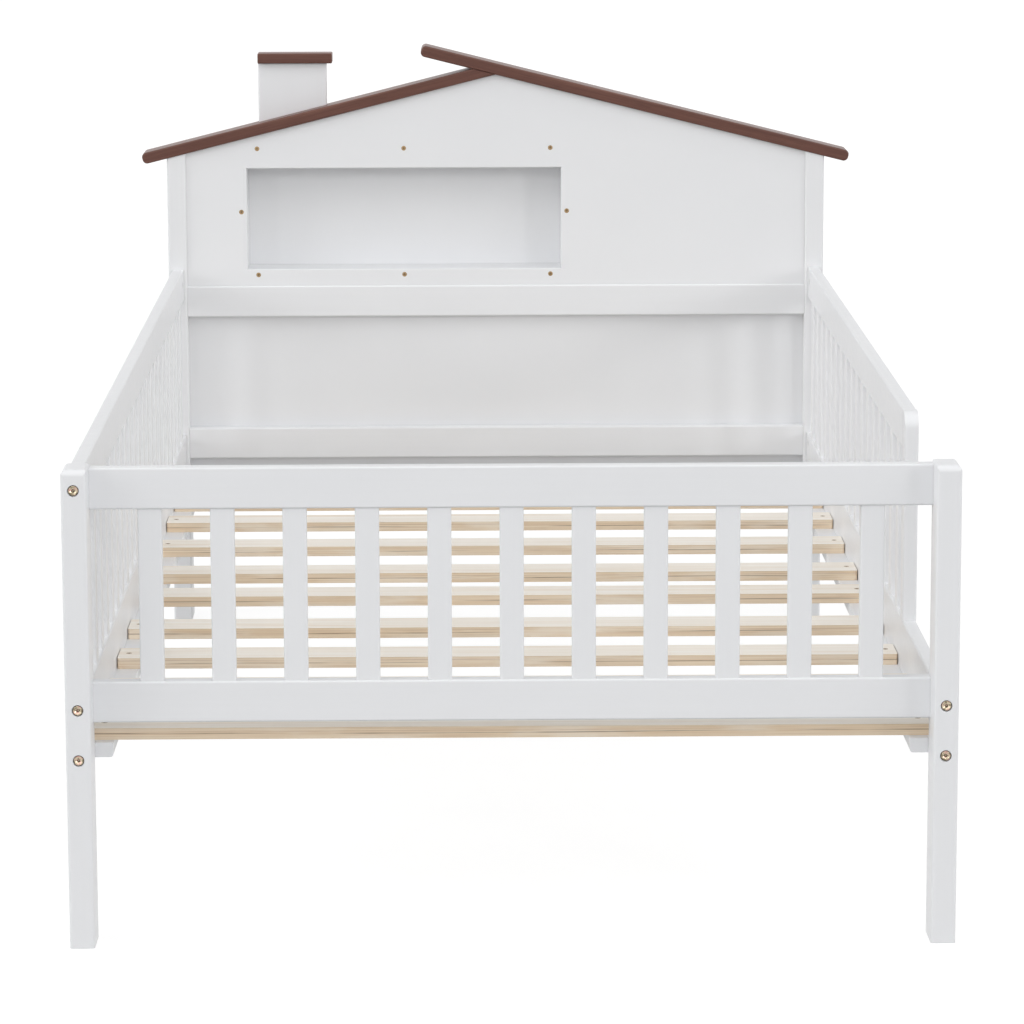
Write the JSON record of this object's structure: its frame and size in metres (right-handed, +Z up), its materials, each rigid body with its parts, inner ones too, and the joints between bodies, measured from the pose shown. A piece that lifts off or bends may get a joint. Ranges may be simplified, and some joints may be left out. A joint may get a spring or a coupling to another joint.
{
  "type": "house frame bed",
  "caption": "Low twin bed with picket guards, a side gap to climb in, bare slats, and a headboard shaped like a house with a roof, chimney and window niche.",
  "frame": {"origin": "on the floor, at the centre of the whole bed's box", "axes": "+Z up, +Y from the foot end to the headboard, +X to the right seen from the foot end"},
  "size_m": [1.1422, 2.0474, 0.9387],
  "materials": {
    "white_paint": "satin white paint",
    "walnut_stain": "satin dark walnut stain",
    "bare_slat_wood": "bare sanded laminated softwood",
    "dowel_beech": "bare beech",
    "bolt_zinc": "yellow zinc plate",
    "screw_zinc": "yellow zinc plate"
  },
  "bodies": {
    "root": {"back_screws": "screw_zinc", "barrel_nuts": "bolt_zinc", "chimney": "white_paint", "chimney_cap": "walnut_stain", "cleat_screws": "screw_zinc", "foot_low_rail": "white_paint", "foot_picket_01": "white_paint", "foot_picket_02": "white_paint", "foot_picket_03": "white_paint", "foot_picket_04": "white_paint", "foot_picket_05": "white_paint", "foot_picket_06": "white_paint", "foot_picket_07": "white_paint", "foot_picket_08": "white_paint", "foot_picket_09": "white_paint", "foot_picket_10": "white_paint", "foot_picket_11": "white_paint", "foot_post_left": "white_paint", "foot_post_right": "white_paint", "foot_top_rail": "white_paint", "frame_bolts": "bolt_zinc", "head_low_rail": "white_paint", "head_lower_panel": "white_paint", "head_mid_rail": "white_paint", "head_post_left": "white_paint", "head_post_right": "white_paint", "headboard_dowels": "dowel_beech", "house_panel": "white_paint", "left_guard_pickets": "white_paint", "left_guard_top_rail": "white_paint", "niche_back": "white_paint", "niche_bottom": "white_paint", "niche_dowels": "dowel_beech", "niche_screws": "screw_zinc", "niche_side_left": "white_paint", "niche_side_right": "white_paint", "niche_top": "white_paint", "picket_dowels": "dowel_beech", "rail_dowels": "dowel_beech", "right_guard_end_post": "white_paint", "right_guard_pickets": "white_paint", "right_guard_top_rail": "white_paint", "roof_board_left": "walnut_stain", "roof_board_right": "walnut_stain", "side_rail_left": "white_paint", "side_rail_right": "white_paint", "slat_01": "bare_slat_wood", "slat_02": "bare_slat_wood", "slat_03": "bare_slat_wood", "slat_04": "bare_slat_wood", "slat_05": "bare_slat_wood", "slat_06": "bare_slat_wood", "slat_07": "bare_slat_wood", "slat_08": "bare_slat_wood", "slat_09": "bare_slat_wood", "slat_10": "bare_slat_wood", "slat_cleat_left": "white_paint", "slat_cleat_right": "white_paint", "slat_screws": "screw_zinc"}
  },
  "joints": []
}
